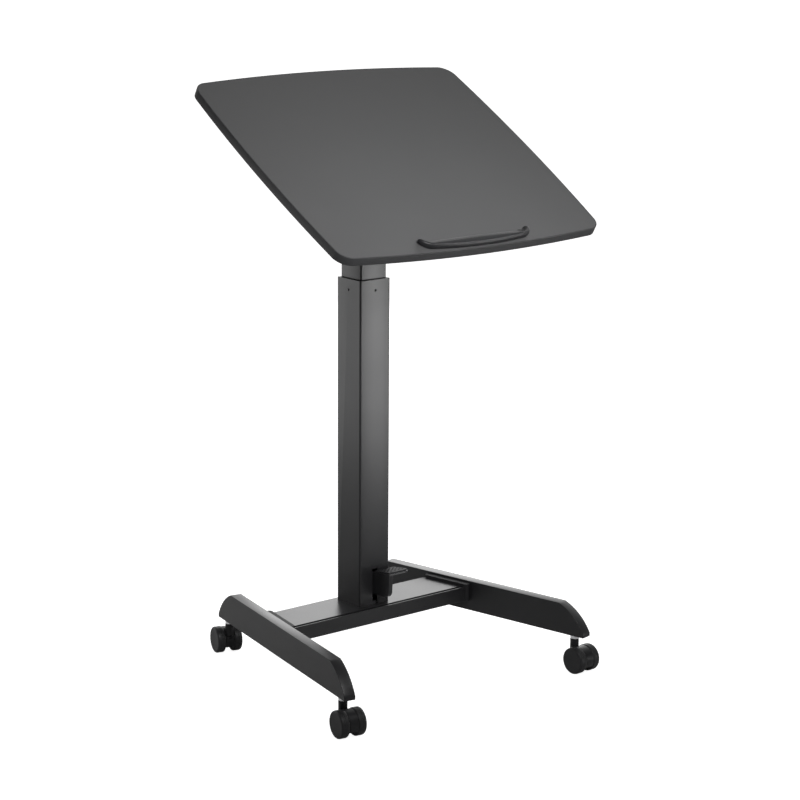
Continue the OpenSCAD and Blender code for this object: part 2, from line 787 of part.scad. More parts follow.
module cylinder_nut() {
    color(zinc) at_column(inner_top + head_t) difference() {
        cylinder(h = stud_nut_t, r = stud_nut_r, $fn = 6);
        translate([0, 0, -over]) cylinder(h = stud_nut_t + 2 * over, r = stud_d / 2 + seat_gap);
    }
}

module gas_rod() {
    bottom = beam_top + bracket_top - rod_end_below;
    color(chrome) at_column(0) difference() {
        union() {
            translate([0, 0, bottom]) cylinder(h = piston_z - bottom + over, r = rod_r);
            translate([0, 0, piston_z]) cylinder(h = piston_t, r = cylinder_d / 2 - cylinder_wall - piston_gap);
        }
        translate([0, 0, bottom - over]) cylinder(h = release_bore + over, r = release_r + fit);
    }
}

module rod_nut() {
    color(zinc) at_column(beam_top + bracket_top + bracket_plate_t) difference() {
        cylinder(h = rod_nut_t, r = rod_nut_r, $fn = 6);
        translate([0, 0, -over]) cylinder(h = rod_nut_t + 2 * over, r = rod_r + seat_gap);
    }
}

module release_pin() {
    color(zinc) at_column(pivot_z + tip_z + tip_r + slide_gap) cylinder(h = release_length, r = release_r);
}

// Pedal and its bracket
module pedal_bracket() {
    cheek_h = bracket_top - foot_t + 1;
    color(steel_black) difference() {
        union() {
            at_column(beam_top + bracket_top) block(foot_size - 2, cheek_depth, bracket_plate_t);
            for (side = [-1, 1])
                translate([pedal_x + side * (cheek_in + cheek_t / 2), column_y, beam_top + foot_t])
                    block(cheek_t, cheek_depth, cheek_h);
        }
        at_column(beam_top + bracket_top - over) cylinder(h = bracket_plate_t + 2 * over, r = rod_r + seat_gap);
        at_pivot() rod_x(-cheek_out - over, 2 * (cheek_out + over), pivot_r + fit);
    }
}

module pedal_pin() {
    end = cheek_out + clip_t + pin_end;
    color(zinc) at_pivot() rod_x(-end, 2 * end, pivot_r);
}

module pedal_clips() {
    color(zinc) at_pivot() for (x = [-cheek_out - clip_t, cheek_out])
        translate([x, 0, 0]) rotate([0, 90, 0]) ring(clip_t, clip_r, pivot_r + fit);
}

module pedal_spring() {
    color(zinc) at_pivot() translate([-cheek_in, 0, 0]) rotate([0, 90, 0])
        ring(cheek_gap - 2 * slide_gap, spring_r, pivot_r + 2 * slide_gap);
}

// Side view of the pedal's arm: blade in front of the pivot, hub, and tongue behind it
module arm_profile() {
    polygon(concat(
        arc_points([nose_y + nose_back, nose_low], [nose_y + nose_lean, nose_low + nose_back], nose_radius),
        [[nose_y, nose_top - blade_drop], [face_y, blade_top - blade_drop], [0, blade_top - blade_drop],
            [0, -hub_r], [face_y, nose_low - nose_lean]]));
    circle(r = hub_r);
    polygon([[0, -tongue_root], [tip_y, tip_z - tongue_t / 2], [tip_y, tip_z + tongue_t / 2], [0, blade_top - tread_plate_t]]);
    translate([tip_y, tip_z]) circle(r = tip_r);
}

// Plan of the tread, with its front right corner rounded, moved in by inset
function tread_plan(inset) = concat(
    [[tread_width - inset, -inset], [inset, -inset], [inset, inset - tread_depth]],
    [for (i = [0:6]) let (a = -90 + 15 * i, r = tread_corner - inset)
        [tread_width - tread_corner + r * cos(a), tread_corner - tread_depth + r * sin(a)]]);

module pedal_arm() {
    color(steel_black) at_pivot() difference() {
        union() {
            across(-arm_t / 2, arm_t) arm_profile();
            on_tread() translate([0, 0, -tread_plate_t]) linear_extrude(tread_plate_t) polygon(tread_plan(0));
        }
        rod_x(-arm_t, 2 * arm_t, pivot_r + fit);
    }
}

module pedal_pad() {
    columns = floor((tread_width - 2 * bump_r - 4) / bump_pitch);
    rows = floor((tread_depth - tread_corner / 2) / bump_pitch) - 1;
    color(plastic_black) at_pivot() on_tread() {
        linear_extrude(pad_t) polygon(tread_plan(pad_inset));
        for (i = [0:columns], j = [0:rows])
            translate([tread_width / 2 + (i - columns / 2) * bump_pitch,
                -tread_depth / 2 + tread_corner / 4 + (j - rows / 2) * bump_pitch, pad_t - over])
                cylinder(h = over + bump_h, r = bump_r, $fn = 16);
    }
}

// Base
module beam_plan(y0, y1, extra = 0) {
    polygon([[-end_x(y0) - extra, y0], [end_x(y0) + extra, y0], [end_x(y1) + extra, y1], [-end_x(y1) - extra, y1]]);
}

module crossbeam() {
    color(steel_black) difference() {
        translate([0, 0, beam_z]) linear_extrude(beam_height) beam_plan(beam_front, beam_back);
        translate([0, 0, beam_z + beam_wall]) linear_extrude(beam_height - 2 * beam_wall)
            beam_plan(beam_front + beam_wall, beam_back - beam_wall, over);
        for (x = [-1, 1], y = [-1, 1])
            at_column(beam_top - beam_wall - over) translate([x * column_bolt_at, y * column_bolt_at, 0])
                cylinder(h = beam_wall + 2 * over, r = column_bolt_d / 2 + seat_gap);
    }
}

module beam_front_plate() {
    color(steel_black) translate([0, 0, beam_z]) {
        linear_extrude(beam_height) beam_plan(plate_front, plate_front + front_plate_t);
        linear_extrude(front_plate_t) beam_plan(plate_front, beam_front);
    }
}

module end_bracket(side) {
    color(steel_black) on_leg(side) difference() {
        union() {
            bracket_bar(bracket_back - bracket_front, beam_height);
            bracket_bar(bracket_back - bracket_front - bracket_step, beam_height + bracket_rise);
        }
        leg_bolt_shanks(leg_bolt_r + seat_gap, over);
    }
}

module bracket_bar(length, h) {
    translate([-(leg_width + bracket_t) / 2, bracket_front + length / 2, beam_z]) linear_extrude(h)
        polygon(rounded_rect(bracket_t, length, bracket_corner));
}

module leg_bolt_shanks(r, extra) {
    for (y = [-1, 1])
        translate([0, beam_y / cos(splay) + y * leg_bolt_spacing / 2, leg_bolt_z])
            rod_x(-leg_width / 2 - bracket_t - extra, bracket_t + leg_wall + leg_bolt_bite + extra, r);
}

module leg_profile(inset = 0) {
    difference() {
        translate([-leg_length / 2 + inset, inset]) square([leg_length - 2 * inset, leg_height - 2 * inset]);
        for (end = [0, 1]) mirror([end, 0]) difference() {
            translate([-leg_length / 2 - over, 0])
                square([end_centre.x + leg_length / 2 + over, leg_height + over]);
            translate(end_centre) circle(r = end_radius - inset, $fn = 180);
        }
    }
}

module leg(side) {
    color(steel_black) on_leg(side) difference() {
        translate([0, 0, leg_clearance]) across(-leg_width / 2, leg_width) leg_profile();
        translate([0, 0, leg_clearance])
            across(-leg_width / 2 + leg_wall, leg_width - 2 * leg_wall) leg_profile(leg_wall);
        leg_bolt_shanks(leg_bolt_r + seat_gap, over);
        for (end = [-1, 1])
            translate([0, end * caster_at, leg_clearance - over])
                cylinder(h = leg_wall + 2 * over, r = socket_r + seat_gap);
    }
}

module leg_bolts() {
    color(zinc) for (side = [-1, 1]) on_leg(side) {
        leg_bolt_shanks(leg_bolt_r, 0);
        for (y = [-1, 1])
            translate([0, beam_y / cos(splay) + y * leg_bolt_spacing / 2, leg_bolt_z])
                rod_x(-leg_width / 2 - bracket_t - leg_bolt_head_t, leg_bolt_head_t, leg_bolt_head_r);
    }
}

module stem_sockets() {
    color(zinc) at_each_stem() translate([0, 0, leg_clearance]) ring(socket_height, socket_r, stem_r + seat_gap);
}

module caster_stems() {
    color(chrome) at_each_stem() translate([0, 0, stem_bottom])
        cylinder(h = leg_clearance + socket_height - stem_bottom, r = stem_r);
}

module caster_nuts() {
    color(chrome) at_each_stem() translate([0, 0, leg_clearance - nut_height])
        ring(nut_height, nut_d / 2, stem_r + seat_gap);
}

// Casters, in a frame with the swivel axis at the origin and the wheels trailing along +X
module caster_housing() {
    color(plastic_black) difference() {
        union() {
            translate([0, hood_width / 2, 0]) rotate([90, 0, 0]) linear_extrude(hood_width) hood_profile();
            translate([0, 0, stem_bottom]) cylinder(h = collar_bottom - stem_bottom, r = neck_r);
            translate([0, 0, stem_bottom - neck_floor]) cylinder(h = neck_floor, r1 = stem_r, r2 = neck_r);
            translate([0, 0, collar_bottom]) cylinder(h = collar_height, r = collar_d / 2);
        }
        translate([0, 0, stem_bottom - slide_gap]) cylinder(h = leg_clearance, r = stem_r + fit);
        translate([wheel_trail, 0, wheel_r]) rod_y(2 * wheel_spacing, axle_r + seat_gap);
    }
}

module hood_profile() {
    difference() {
        translate([wheel_trail, wheel_r]) circle(r = hood_r);
        translate([-wheel_d, -wheel_d]) square([3 * wheel_d, wheel_d + hood_cut]);
    }
}

module caster_axle() {
    color(zinc) translate([wheel_trail, 0, wheel_r])
        rod_y(wheel_spacing + wheel_width - 2 * wheel_skin - 2 * slide_gap, axle_r);
}

// side -1 is the wheel on the right of the way that the caster trails, 1 the one on its left
module caster_wheel(side) {
    half = wheel_width / 2;
    color(plastic_black) translate([wheel_trail, side * wheel_spacing / 2, wheel_r]) rotate([-side * 90, 0, 0])
        rotate_extrude() polygon([[axle_r + fit, half - wheel_skin], [0, half - wheel_skin], [0, half],
            [wheel_r - wheel_chamfer, half], [wheel_r, half - wheel_chamfer], [wheel_r, wheel_chamfer - half],
            [wheel_r - wheel_chamfer, -half], [wheel_r - wheel_rim, -half], [wheel_r - wheel_rim, wheel_recess - half],
            [axle_r + wheel_rim, wheel_recess - half], [axle_r + wheel_rim, -half], [axle_r + fit, -half]]);
}

desktop();
edge_band();
front_lip();
lip_screws();
top_bracket();
mount_screws();
lower_bracket();
yoke_bolts();
head_plate();
hinge_bolt();
hinge_washer();
friction_washers();
tilt_lever();
lever_grip();
inner_tube();
lower_glide();
gas_cylinder();
cylinder_nut();
outer_tube();
upper_glide();
grub_screws();
column_foot();
column_bolts();
gas_rod();
rod_nut();
release_pin();
pedal_bracket();
pedal_pin();
pedal_clips();
pedal_spring();
pedal_arm();
pedal_pad();
crossbeam();
beam_front_plate();
end_bracket(-1);  // end_bracket_left
end_bracket(1);  // end_bracket_right
leg(-1);  // leg_left
leg(1);  // leg_right
leg_bolts();
stem_sockets();
caster_stems();
caster_nuts();
at_caster(0) caster_housing();  // housing_front_left
at_caster(0) caster_axle();  // axle_front_left
at_caster(0) caster_wheel(-1);  // wheel_front_left_1
at_caster(0) caster_wheel(1);  // wheel_front_left_2
at_caster(1) caster_housing();  // housing_front_right
at_caster(1) caster_axle();  // axle_front_right
at_caster(1) caster_wheel(-1);  // wheel_front_right_1
at_caster(1) caster_wheel(1);  // wheel_front_right_2
at_caster(2) caster_housing();  // housing_rear_left
at_caster(2) caster_axle();  // axle_rear_left
at_caster(2) caster_wheel(-1);  // wheel_rear_left_1
at_caster(2) caster_wheel(1);  // wheel_rear_left_2
at_caster(3) caster_housing();  // housing_rear_right
at_caster(3) caster_axle();  // axle_rear_right
at_caster(3) caster_wheel(-1);  // wheel_rear_right_1
at_caster(3) caster_wheel(1);  // wheel_rear_right_2
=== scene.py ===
# %% [markdown]
# # A mobile standing desk
# The desk is a dark tilting top on a two-stage square lift column, on an H-shaped
# base with four twin-wheel casters. The CAD model already fixes every size and joint.
# This file loads it as a fixed frame, and puts finer surfaces and finishes on it.

# %% Load the frame
import json
import math
import bmesh
import bpy
import numpy as np
from mathutils import Matrix, Vector


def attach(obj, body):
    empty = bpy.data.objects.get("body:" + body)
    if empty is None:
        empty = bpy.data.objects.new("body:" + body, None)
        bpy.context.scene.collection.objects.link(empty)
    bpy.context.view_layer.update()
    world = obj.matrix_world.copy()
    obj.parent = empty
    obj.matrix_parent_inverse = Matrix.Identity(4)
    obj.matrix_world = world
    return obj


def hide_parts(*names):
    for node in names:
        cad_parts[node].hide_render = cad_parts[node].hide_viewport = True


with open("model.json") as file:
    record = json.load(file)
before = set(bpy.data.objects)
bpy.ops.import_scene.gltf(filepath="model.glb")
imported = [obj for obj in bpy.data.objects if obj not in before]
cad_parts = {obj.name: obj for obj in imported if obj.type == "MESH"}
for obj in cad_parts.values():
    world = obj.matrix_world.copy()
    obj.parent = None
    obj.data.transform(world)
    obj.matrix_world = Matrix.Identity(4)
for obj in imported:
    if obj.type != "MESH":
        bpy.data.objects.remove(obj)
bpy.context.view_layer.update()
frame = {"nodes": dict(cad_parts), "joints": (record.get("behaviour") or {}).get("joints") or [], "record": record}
NODES = frame["nodes"]
JOINTS = {j["name"]: j for j in frame["joints"]}
SLOT_OF = {s["node"]: s["material_slot"] for s in frame["record"]["subparts"]}
BODY_OF = {n: b for b, members in frame["record"]["behaviour"]["bodies"].items() for n in members}

# %% [markdown]
# ## Finishes
# The desk is nearly all black, so its finishes differ in gloss and in fine relief, and
# hardly in colour. Image textures could hold that, but they would need unwrapping.
# Noise on Object coordinates has the right scale everywhere, and turns with each piece.

# %% Pattern nodes
def tree_of(name):
    """A new node material: returns it, its tree, its Principled shader and an Object
    coordinate output that every pattern of that finish reads."""
    mat = bpy.data.materials.new(name)
    mat.use_nodes = True
    tree = mat.node_tree
    shader = tree.nodes["Principled BSDF"]
    coords = tree.nodes.new("ShaderNodeTexCoord").outputs["Object"]
    return mat, tree, shader, coords


def noise(tree, coords, scale, detail, rough):
    """Fractal noise with `scale` cells a metre. Each of its `detail` finer layers counts
    `rough` times as much as the one before."""
    n = tree.nodes.new("ShaderNodeTexNoise")
    n.inputs["Scale"].default_value = scale
    n.inputs["Detail"].default_value = detail
    n.inputs["Roughness"].default_value = rough
    tree.links.new(coords, n.inputs["Vector"])
    return n.outputs["Fac"]


def ramp(tree, value, low, high, start=0.3, end=0.7):
    """A colour or a grey that runs from low to high as value runs from start to end."""
    node = tree.nodes.new("ShaderNodeValToRGB")
    for stop, place, grey in zip(node.color_ramp.elements, (start, end), (low, high)):
        stop.position = place
        stop.color = (*grey, 1) if hasattr(grey, "__len__") else (grey, grey, grey, 1)
    tree.links.new(value, node.inputs["Fac"])
    return node.outputs["Color"]


def relief(tree, shader, height, strength, distance):
    """Turns a height pattern into a bump of `distance` metres."""
    bump = tree.nodes.new("ShaderNodeBump")
    bump.inputs["Strength"].default_value = strength
    bump.inputs["Distance"].default_value = distance
    tree.links.new(height, bump.inputs["Height"])
    tree.links.new(bump.outputs["Normal"], shader.inputs["Normal"])

# %% [markdown]
# Paint, laminate, plastic and plated steel all have a fine grain and a broad, faint
# unevenness. A plain colour would look like a toy. So one recipe mixes the two scales,
# and each finish gives it two colours, two roughnesses and the size of its grain.

# %% Finishes
CLOUD = 6.0
GRAIN_SHARE = 0.55
GRAIN_STRENGTH = 0.6


def speckled(name, dark, light, rough, grain, depth, specular=0.5, metallic=0.0):
    """A finish from a cloud and a grain, both in cells a metre. Their mix, (1 - s) cloud
    + s grain, runs its colour from dark to light and its roughness along `rough`, and the
    grain alone gives its relief, `depth` metres deep."""
    mat, tree, shader, coords = tree_of(name)
    broad = noise(tree, coords, CLOUD, 2.0, 0.55)
    fine = noise(tree, coords, grain, 3.0, 0.6)
    mix = tree.nodes.new("ShaderNodeMix")
    mix.data_type = "FLOAT"
    mix.inputs["Factor"].default_value = GRAIN_SHARE
    tree.links.new(broad, mix.inputs["A"])
    tree.links.new(fine, mix.inputs["B"])
    tree.links.new(ramp(tree, mix.outputs["Result"], dark, light), shader.inputs["Base Color"])
    tree.links.new(ramp(tree, mix.outputs["Result"], *rough), shader.inputs["Roughness"])
    relief(tree, shader, fine, GRAIN_STRENGTH, depth)
    shader.inputs["Metallic"].default_value = metallic
    shader.inputs["Specular IOR Level"].default_value = specular
    return mat


FINISH = {
    "top_laminate": speckled("top laminate", (0.048, 0.048, 0.049), (0.059, 0.059, 0.060),
                             rough=(0.46, 0.54), grain=1500, depth=0.00004, specular=0.28),
    "top_edge": speckled("edge band", (0.023, 0.023, 0.024), (0.030, 0.030, 0.031),
                         rough=(0.42, 0.50), grain=900, depth=0.00004, specular=0.24),
    "painted_steel": speckled("powder coat", (0.011, 0.011, 0.012), (0.016, 0.016, 0.017),
                              rough=(0.31, 0.38), grain=1100, depth=0.00005, specular=0.4),
    "black_plastic": speckled("moulded plastic", (0.009, 0.009, 0.010), (0.014, 0.014, 0.015),
                              rough=(0.34, 0.42), grain=1400, depth=0.00004, specular=0.28),
    "grip_rubber": speckled("rubber", (0.012, 0.012, 0.013), (0.020, 0.020, 0.021),
                            rough=(0.60, 0.70), grain=800, depth=0.00006, specular=0.22),
    "zinc_steel": speckled("bright zinc", (0.50, 0.51, 0.53), (0.62, 0.63, 0.65),
                           rough=(0.28, 0.40), grain=700, depth=0.00004, metallic=1.0),
    "chrome_steel": speckled("chrome", (0.80, 0.80, 0.82), (0.88, 0.88, 0.90),
                             rough=(0.24, 0.32), grain=300, depth=0.00002, metallic=1.0),
}
for n, obj in NODES.items():
    obj.data.materials.clear()
    obj.data.materials.append(FINISH[SLOT_OF[n]])
print("finishes:", len(FINISH), "on", len(NODES), "CAD nodes")

# %% [markdown]
# ## Meshes from arrays
# Nearly every piece of the desk is an outline or a profile that is carried along
# something. One could extrude a polygon by hand and bevel it. Here the rings of points
# are computed as arrays instead, so each size and each edge radius is a number.

# %% Points, faces and places
CREASE = math.radians(38)


def make_piece(name, verts, faces, body, slot, finish=None):
    """Puts points and faces into a mesh with smooth shading. Edges that bend by more
    than CREASE stay crisp. The object sits at the origin and rides on `body`. Its
    material is the one of its slot, or else the finish that is given."""
    mesh = bpy.data.meshes.new(name)
    mesh.from_pydata(np.asarray(verts, float).tolist(), [], faces)
    mesh.validate()
    mesh.polygons.foreach_set("use_smooth", np.ones(len(mesh.polygons), bool))
    mesh.set_sharp_from_angle(angle=CREASE)
    obj = bpy.data.objects.new(name, mesh)
    bpy.context.scene.collection.objects.link(obj)
    obj.data.materials.append(finish or FINISH[slot])
    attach(obj, body)
    return obj


def closed(obj):
    """Merges the points that meet at a pole or a seam, and turns all faces outwards."""
    bm = bmesh.new()
    bm.from_mesh(obj.data)
    bmesh.ops.remove_doubles(bm, verts=bm.verts, dist=1e-6)
    bmesh.ops.dissolve_degenerate(bm, edges=bm.edges, dist=1e-7)
    bmesh.ops.recalc_face_normals(bm, faces=bm.faces)
    bm.to_mesh(obj.data)
    bm.free()
    obj.data.set_sharp_from_angle(angle=CREASE)


def grid_faces(rows, cols, first=0):
    """Quads between neighbouring rings of `cols` points each: point j of ring i joins
    j and j+1 of ring i+1, and the last point of a ring joins its first."""
    i, j = np.meshgrid(np.arange(rows - 1), np.arange(cols), indexing="ij")
    k = (j + 1) % cols
    quads = np.stack([i * cols + j, i * cols + k, (i + 1) * cols + k, (i + 1) * cols + j], -1)
    return (quads.reshape(-1, 4) + first).tolist()


def at(origin, x, y, z):
    """Returns the function that takes local points to the desk: origin + u x + v y + w z."""
    axes, start = np.array([x, y, z], float), np.array(origin, float)
    return lambda p: np.asarray(p, float) @ axes + start

# %% [markdown]
# ## The board
# The top is a flat board with slightly bowed sides and round corners. Its outline could
# be drawn as a curve. Here it is a rounded rectangle whose points are pushed outwards by
# a parabola, so one formula gives the board, the seam and the outer edge of its band.
# The local axes lie in the tilted board, with the hinge as their origin.

# %% Board outline
MM = 0.001
TILT = math.radians(30.4)
COLUMN_Y, HINGE_Z = 0.057, 0.961
ACROSS = (1, 0, 0)
UP_BOARD = (0, math.cos(TILT), math.sin(TILT))
OUT = (0, -math.sin(TILT), math.cos(TILT))
on_top = at((0, COLUMN_Y, HINGE_Z), ACROSS, UP_BOARD, OUT)
BOARD = {"w": 0.615, "d": 0.537, "t": 0.016, "end_bow": 0.0145, "side_bow": 0.010,
         "r": 0.025, "back": -0.0795, "low": 0.050}
LOW, HIGH = BOARD["low"], BOARD["low"] + BOARD["t"]


def board_outline(inset, arc=14, straight=18):
    """Rounded rectangle of half sizes hw, hd, then x += side_bow x/hw (1 - (y/hd)^2) and
    y += end_bow y/hd (1 - (x/hw)^2), so that each side bows out in a parabola."""
    hw = BOARD["w"] / 2 - BOARD["side_bow"] - inset
    hd = BOARD["d"] / 2 - BOARD["end_bow"] - inset
    r = BOARD["r"] - inset
    corner = np.array([[1, 1], [-1, 1], [-1, -1], [1, -1]], float) * [hw - r, hd - r]
    a = np.radians(90 * np.arange(4)[:, None] + np.linspace(0, 90, arc + 1))
    arcs = corner[:, None] + r * np.stack([np.cos(a), np.sin(a)], -1)
    t = np.linspace(0, 1, straight + 1)[1:-1, None]
    sides = arcs[:, -1][:, None] * (1 - t) + np.roll(arcs[:, 0], -1, 0)[:, None] * t
    p = np.concatenate([arcs, sides], 1).reshape(-1, 2)
    x, y = p[:, 0], p[:, 1]
    bowed = np.stack([x + BOARD["side_bow"] * x / hw * (1 - (y / hd) ** 2),
                      y + BOARD["end_bow"] * y / hd * (1 - (x / hw) ** 2)], 1)
    return bowed + [0, BOARD["back"]]


print("outline of the top:", len(board_outline(0)), "points")

# %% [markdown]
# A sawn board is never quite sharp at its arris. A Bevel modifier could round it, but a
# slab that is built from rings has the same arris all round, in as few faces as wanted.

# %% Slab and board
BAND = 0.002


def shifted(outline, d):
    """Moves a closed counter-clockwise outline inwards by d. Each point goes along
    the sum of its two edges' normals, divided by one plus their dot product."""
    edge = np.roll(outline, -1, 0) - outline
    edge = edge / np.linalg.norm(edge, axis=1)[:, None]
    normal = np.stack([-edge[:, 1], edge[:, 0]], 1)
    before = np.roll(normal, 1, 0)
    both = (normal + before) / (1 + (normal * before).sum(1))[:, None]
    return outline + d * both


def slab(name, outline, low, high, radius, place, body, slot, replaced, steps=4):
    """A plate with broken edges. Its rings are the outline, moved in by r (1 - sin a) at
    height low + r (1 - cos a), and then by r (1 - cos a) at high - r (1 - sin a), with a
    from 0 to 90 degrees. A ring inside each face's edge keeps the face's shading flat."""
    a = np.linspace(0, math.pi / 2, steps + 1)
    out, back = radius * (1 - np.sin(a)), radius * (1 - np.cos(a))
    margin = radius * 1.6
    inset = np.concatenate([[margin], out, back, [margin]])
    level = np.concatenate([[low], low + back, high - out, [high]])
    n = len(outline)
    rings = [np.column_stack([shifted(outline, d), np.full(n, h)]) for d, h in zip(inset, level)]
    faces = grid_faces(len(rings), n)
    faces.append(list(range(n))[::-1])
    faces.append(list(range((len(rings) - 1) * n, len(rings) * n)))
    obj = make_piece(name, place(np.concatenate(rings)), faces, body, slot)
    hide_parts(*replaced)
    return obj


board = slab("board", board_outline(BAND), LOW, HIGH, 0.00035, on_top,
             "top", "top_laminate", ["desktop"], steps=2)
print("board", [round(v / MM) for v in board.dimensions], "mm")

# %% [markdown]
# A plastic band is glued round the board, 2 mm thick. It could be painted on as a
# stripe, but then it wouldn't have its own rounded arrises, nor the fine groove where it
# meets the board. So its section is carried round the same outline.

# %% Edge band
ARRIS = 0.0007
GROOVE_WIDTH, GROOVE_DEPTH = 0.0003, 0.0004


def band_ring():
    """The band's section, carried round the outline. It is a rectangle with two outer
    arrises of radius r and two small chamfers at the seam. `inset` is how far inside the
    outline each of its points lies, and `level` how high."""
    a = np.linspace(0, math.pi / 2, 6)
    out, back = ARRIS * (1 - np.sin(a)), ARRIS * (1 - np.cos(a))
    chamfer = BAND - GROOVE_WIDTH
    inset = np.concatenate([[BAND, BAND, chamfer], out, back, [chamfer]])
    level = np.concatenate([[HIGH - GROOVE_DEPTH, LOW + GROOVE_DEPTH, LOW],
                            LOW + back, HIGH - out, [HIGH]])
    lines = [board_outline(d) for d in inset]
    rings = np.stack([np.column_stack([p, np.full(len(p), h)]) for p, h in zip(lines, level)])
    rows, cols = rings.shape[:2]
    j = np.arange(cols)
    k = (j + 1) % cols
    last = (rows - 1) * cols
    back_to_first = np.stack([last + j, last + k, k, j], 1)
    return rings.reshape(-1, 3), grid_faces(rows, cols) + back_to_first.tolist()


ring, ring_faces = band_ring()
band = make_piece("band", on_top(ring), ring_faces, "top", "top_edge")
closed(band)
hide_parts("edge_band")
print("band", [round(v / MM) for v in band.dimensions], "mm")

# %% [markdown]
# ## The front lip
# A moulded bar near the front edge keeps papers from sliding off. It is a long rounded
# ridge with a shallow trough behind it, and both ends curl up the board. It could be
# swept along its front line with one section, but the trough is widest at the middle.
# So the section's width changes along a long shallow bow and two short arcs.

# %% Front lip
LIP = {"length": 0.255, "height": 0.012, "width": 0.030, "end_width": 0.021,
       "bow_r": 0.85, "end_r": 0.026, "turn": math.radians(90), "inset": 0.0037,
       "crest": 0.20, "middle_crest": 0.42, "tip_width": 0.30, "tip_height": 0.12}
SECTION = np.array([
    [0.080, 0], [0.056, 0.05], [0.020, 0.15], [0.0, 0.27], [0.0, 0.45], [0.003, 0.62],
    [0.011, 0.76], [0.032, 0.87], [0.072, 0.935], [0.12, 0.975], [0.16, 0.993],
    [0.20, 1.0], [0.24, 0.985], [0.28, 0.93], [0.32, 0.82], [0.36, 0.67], [0.40, 0.50],
    [0.44, 0.36], [0.49, 0.26], [0.55, 0.215], [0.63, 0.20], [0.72, 0.195],
    [0.80, 0.18], [0.88, 0.14], [0.95, 0.09], [0.99, 0.05], [1.0, 0.0]])


def both_halves(half, sign=1):
    """One column with the left half's values, which mirror the right half's, and then
    the right half's, which run from the middle outwards."""
    return np.concatenate([sign * half[:0:-1], half])[:, None]


def lip_surface(arc=26, long=50):
    """The path's direction turns by a. First x = B sin a, y = B (1 - cos a) on the long bow
    of radius B, and past a0 the same with the end radius E, joined on: x += (B - E) sin a0.
    The section stands square to it. Its width falls from W to w by (a / a0)^2 on the bow.
    With s the share of the end arc, it shrinks near the tip by (1 - s^8)^(1/2) and sinks
    by 1 - 0.1 s^2. The crest's line is nearly straight, so the crest's share of the width
    is largest at the middle, and falls as the width does."""
    big, end, turn = LIP["bow_r"], LIP["end_r"], LIP["turn"]
    a0 = math.asin((LIP["length"] / 2 - end * math.sin(turn)) / (big - end))
    near = np.linspace(0, a0, long + 1)[:-1]
    u = np.linspace(0, 1, arc + 1)
    far = a0 + (turn - a0) * (1.5 * u - 0.5 * u ** 3)
    a = np.concatenate([near, far])
    x = np.concatenate([big * np.sin(near), (big - end) * math.sin(a0) + end * np.sin(far)])
    y = np.concatenate([big * (1 - np.cos(near)),
                        big - end - (big - end) * math.cos(a0) + end * (1 - np.cos(far))])
    share = np.clip((a - a0) / (turn - a0), 0, 1)
    size = both_halves(np.sqrt(np.clip(1 - share ** 8, 0, 1)))
    bulge = np.clip(1 - (a / a0) ** 2, 0, 1)
    width = both_halves(LIP["end_width"] + (LIP["width"] - LIP["end_width"]) * bulge)
    crest = both_halves(LIP["crest"] + (LIP["middle_crest"] - LIP["crest"]) * bulge)
    x, y, a, share = both_halves(x, -1), both_halves(y), both_halves(a, -1), both_halves(share)
    t, top = SECTION[None, :, 0], LIP["crest"]
    t = np.where(t < top, t * crest / top, crest + (t - top) * (1 - crest) / (1 - top))
    least, lowest = LIP["tip_width"], LIP["tip_height"]
    s = t * (least + (1 - least) * size) * width + (1 - size) * least * width
    h = SECTION[None, :, 1] * (lowest + (1 - lowest) * size) * (1 - 0.1 * share ** 2)
    front = -BOARD["d"] / 2 + BOARD["back"] + LIP["inset"]
    return np.stack([x - s * np.sin(a), front + y + s * np.cos(a), HIGH + h * LIP["height"]], -1)


lip_grid = lip_surface()
rows, cols = lip_grid.shape[:2]
tips = [list(range(cols))[::-1], list(range((rows - 1) * cols, rows * cols))]
lip = make_piece("lip", on_top(lip_grid.reshape(-1, 3)), grid_faces(rows, cols) + tips,
                 "top", "black_plastic")
closed(lip)
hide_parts("front_lip")
print("lip", [round(v / MM) for v in lip.dimensions], "mm")

# %% [markdown]
# ## The column
# Two square steel tubes slide in each other. Their walls are thin and their corners have
# a small bending radius. The CAD tubes have the right shape, with the slot for the pedal
# and the grub screws' holes, so a copy with slightly broken edges is enough. The hinge
# plates and the pedal's bracket are bent or cut steel too, and are done in the same way.

# %% Column and plates
BROKEN_FROM = math.radians(35)


def softened(node, width, segments=2, finish=None):
    """A CAD node with its edges broken: a copy of its mesh, its loose triangles merged and
    its flat faces joined, with a Bevel modifier on the edges that bend by BROKEN_FROM or
    more. Its material is the one of its slot, or else the finish that is given."""
    mesh = NODES[node].data.copy()
    bm = bmesh.new()
    bm.from_mesh(mesh)
    bmesh.ops.remove_doubles(bm, verts=bm.verts, dist=2e-6)
    bmesh.ops.dissolve_limit(bm, angle_limit=math.radians(0.5), verts=bm.verts, edges=bm.edges)
    bm.to_mesh(mesh)
    bm.free()
    mesh.polygons.foreach_set("use_smooth", np.ones(len(mesh.polygons), bool))
    mesh.set_sharp_from_angle(angle=BROKEN_FROM)
    obj = bpy.data.objects.new(node + "_soft", mesh)
    bpy.context.scene.collection.objects.link(obj)
    mesh.materials.clear()
    mesh.materials.append(finish or FINISH[SLOT_OF[node]])
    bevel = obj.modifiers.new("broken edges", "BEVEL")
    bevel.width, bevel.segments, bevel.limit_method = width, segments, "ANGLE"
    bevel.angle_limit, bevel.harden_normals = BROKEN_FROM, True
    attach(obj, BODY_OF[node])
    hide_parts(node)


EDGES = {"outer_tube": 0.0005, "inner_tube": 0.0003, "upper_glide": 0.0003, "head_plate": 0.0008,
         "lower_bracket": 0.0008, "top_bracket": 0.0008, "pedal_bracket": 0.0006}
for node, width in EDGES.items():
    softened(node, width)
print("softened:", ", ".join(EDGES))

